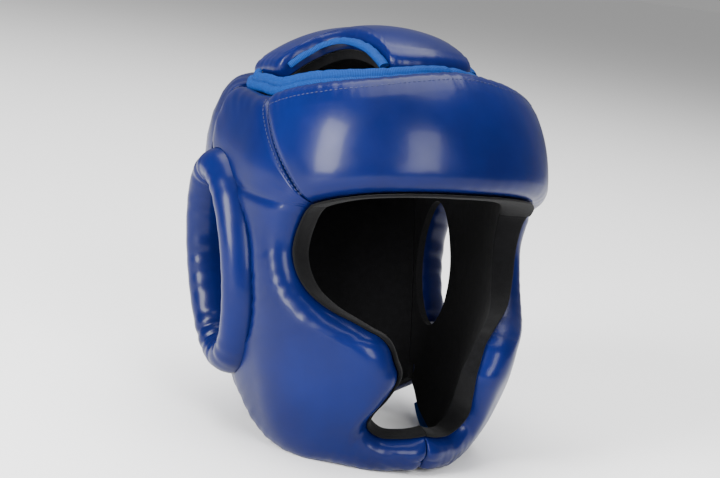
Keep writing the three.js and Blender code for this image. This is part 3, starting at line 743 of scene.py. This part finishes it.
def stitch_nodes():
    group = bpy.data.node_groups.new("stitches", "GeometryNodeTree")
    group.interface.new_socket("Geometry", in_out="INPUT", socket_type="NodeSocketGeometry")
    group.interface.new_socket("Geometry", in_out="OUTPUT", socket_type="NodeSocketGeometry")

    def add(kind, **inputs):
        node = group.nodes.new(kind)
        for key, value in inputs.items():
            socket = node.inputs[key.replace("_", " ")]
            if isinstance(value, bpy.types.NodeSocket):
                group.links.new(value, socket)
            else:
                socket.default_value = value
        return node

    start = group.nodes.new("NodeGroupInput")
    curve = add("GeometryNodeMeshToCurve", Mesh=start.outputs[0])
    spaced = group.nodes.new("GeometryNodeResampleCurve")
    spaced.mode = "LENGTH"
    group.links.new(curve.outputs["Curve"], spaced.inputs["Curve"])
    spaced.inputs["Length"].default_value = STITCH_LENGTH / 1000
    tangent = group.nodes.new("GeometryNodeInputTangent")
    turned = group.nodes.new("FunctionNodeAlignRotationToVector")
    turned.axis = "Z"
    group.links.new(tangent.outputs[0], turned.inputs["Vector"])
    bead = add("GeometryNodeMeshUVSphere", Segments=8, Rings=6, Radius=STITCH_HALF / 1000)
    dotted = add("GeometryNodeInstanceOnPoints", Points=spaced.outputs["Curve"], Instance=bead.outputs["Mesh"],
                 Rotation=turned.outputs["Rotation"], Scale=(1.0, 1.0, 0.38 * STITCH_LENGTH / STITCH_HALF))
    real = add("GeometryNodeRealizeInstances", Geometry=dotted.outputs["Instances"])
    finished = add("GeometryNodeSetMaterial", Geometry=real.outputs["Geometry"], Material=THREAD)
    end = group.nodes.new("NodeGroupOutput")
    group.links.new(finished.outputs["Geometry"], end.inputs[0])
    return group


STITCHES = stitch_nodes()


def stitches(name, *paths):
    points, edges = [], []
    for path in paths:
        first = len(points)
        points += place(path).tolist()
        edges += [(first + i, first + i + 1) for i in range(len(path) - 1)]
    mesh = bpy.data.meshes.new(name)
    mesh.from_pydata(points, edges, [])
    piece = bpy.data.objects.new(name, mesh)
    bpy.context.scene.collection.objects.link(piece)
    piece.modifiers.new("stitches", "NODES").node_group = STITCHES
    bpy.context.view_layer.update()
    seen = piece.evaluated_get(bpy.context.evaluated_depsgraph_get())
    sewn = bpy.data.meshes.new_from_object(seen)
    piece.modifiers.clear()
    piece.data = sewn
    sewn.shade_smooth()
    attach(piece, "root")
    return piece


def line_over(ends, thick, from_top, detail, power=ROLL_POWER, lift=0.1):
    """Path at a distance from the outer edge of a pad, just over its leather."""
    length = run_length(ends)[:, None]
    across = length - from_top
    roll = np.minimum(PAD_ROLL, 0.46 * length)
    aside, tall = roll_shares(power)
    share = np.interp(from_top / roll[:, 0], aside, tall, right=1.0)[:, None]
    height = thick[:, None] * share * (1 + DOME * (1 - (2 * across / length - 1) ** 2))
    mid = over_runs(ends, length / 2, 0 * length)[:, 0]
    travel = np.concatenate([[0], np.cumsum(np.linalg.norm(np.diff(mid, axis=0), axis=1))])[:, None]
    height = height - detail(travel, across, length - across) + lift
    return over_runs(ends, across, height)[:, 0]


def line_along(ends, thick, index, detail, power=ROLL_POWER, lift=0.1):
    """Path across a pad at one of its sections."""
    length = run_length(ends)[:, None]
    roll = np.minimum(PAD_ROLL, 0.46 * length)
    aside, tall = roll_shares(power)
    part = np.linspace(0.1, 0.93, 60)
    across = length * part
    close = np.minimum(across, length - across) / roll
    share = np.interp(close, np.append(aside, 1), np.append(tall, 1))
    height = thick[:, None] * share * (1 + DOME * (1 - (2 * part - 1) ** 2))
    mid = over_runs(ends, length / 2, 0 * length)[:, 0]
    travel = np.concatenate([[0], np.cumsum(np.linalg.norm(np.diff(mid, axis=0), axis=1))])[:, None]
    height = height - detail(travel, across, length - across) + lift
    return over_runs(ends, across, height)[index]


stitches("brow_top_stitches", line_over(brow_rows[:, :4], brow_thick, 9.5, brow_detail, BROW_POWER))
flip = np.array([-1, 1, 1])
temple = [line_along(brow_rows[:, :4], brow_thick, 4, brow_detail, BROW_POWER),
          line_along(side_ends, side_thick, -5, side_detail)]
stitches("temple_stitches", *temple, *[path * flip for path in temple])

for helper in (ring_cutter, left_cutter, plug, left_plug, core):
    bpy.data.objects.remove(helper, do_unlink=True)


# Camera, floor and light
def tipped(vector):
    """Direction of the upright frame in the resting one."""
    return Matrix.Rotation(-REST_TILT, 3, "X") @ Vector(vector)


def add_camera():
    level = cos(CAMERA_RISE)
    away = Vector((sin(CAMERA_TURN) * level, -cos(CAMERA_TURN) * level, sin(CAMERA_RISE)))
    right = (-away).cross(Vector((0, 0, 1))).normalized()
    up = right.cross(-away)
    aim = Vector((0, 0, CAMERA_AIM)) + right * CAMERA_ASIDE
    spot = aim + away * CAMERA_AWAY
    data = bpy.data.cameras.new("camera")
    data.lens, data.sensor_width = LENS, SENSOR
    camera = bpy.data.objects.new("camera", data)
    turn = Matrix([tipped(right), tipped(up), tipped(away)]).transposed()
    where = (tipped(spot) - Vector((0, REST_MIDDLE, REST_FLOOR))) / 1000
    camera.matrix_world = Matrix.Translation(where) @ turn.to_4x4()
    bpy.context.scene.collection.objects.link(camera)
    bpy.context.scene.camera = camera


def add_softbox(name, turn, rise, away, width, height, power):
    """Soft light that faces the guard, by degrees to its right and degrees up."""
    data = bpy.data.lights.new(name, "AREA")
    data.shape, data.size, data.size_y, data.energy = "RECTANGLE", width, height, power
    lamp = bpy.data.objects.new(name, data)
    a, e = radians(turn), radians(rise)
    back = Vector((-sin(a) * cos(e), -cos(a) * cos(e), sin(e)))
    lamp.location = Vector((0, 0, 0.14)) + back * away
    lamp.rotation_euler = back.to_track_quat("Z", "Y").to_euler()
    bpy.context.scene.collection.objects.link(lamp)


def add_floor():
    size = 12
    mesh = bpy.data.meshes.new("floor")
    corners = [(-size, -size, 0), (size, -size, 0), (size, size, 0), (-size, size, 0)]
    mesh.from_pydata(corners, [], [(0, 1, 2, 3)])
    floor = bpy.data.objects.new("floor", mesh)
    bpy.context.scene.collection.objects.link(floor)
    look = Finish("pale studio floor", Roughness=0.9)
    look.shader.inputs["Base Color"].default_value = (0.95, 0.95, 0.95, 1)
    mesh.materials.append(look.material)


add_camera()
add_floor()
add_softbox("left_softbox", 80, 20, 1.5, 0.5, 0.9, 56)
add_softbox("right_softbox", 8, 24, 1.6, 0.6, 0.8, 26)
add_softbox("top_softbox", 200, 80, 2.2, 2.2, 2.2, 110)
world = bpy.data.worlds.new("studio")
world.use_nodes = True
world.node_tree.nodes["Background"].inputs["Color"].default_value = (1, 1, 1, 1)
world.node_tree.nodes["Background"].inputs["Strength"].default_value = 0.36
bpy.context.scene.world = world
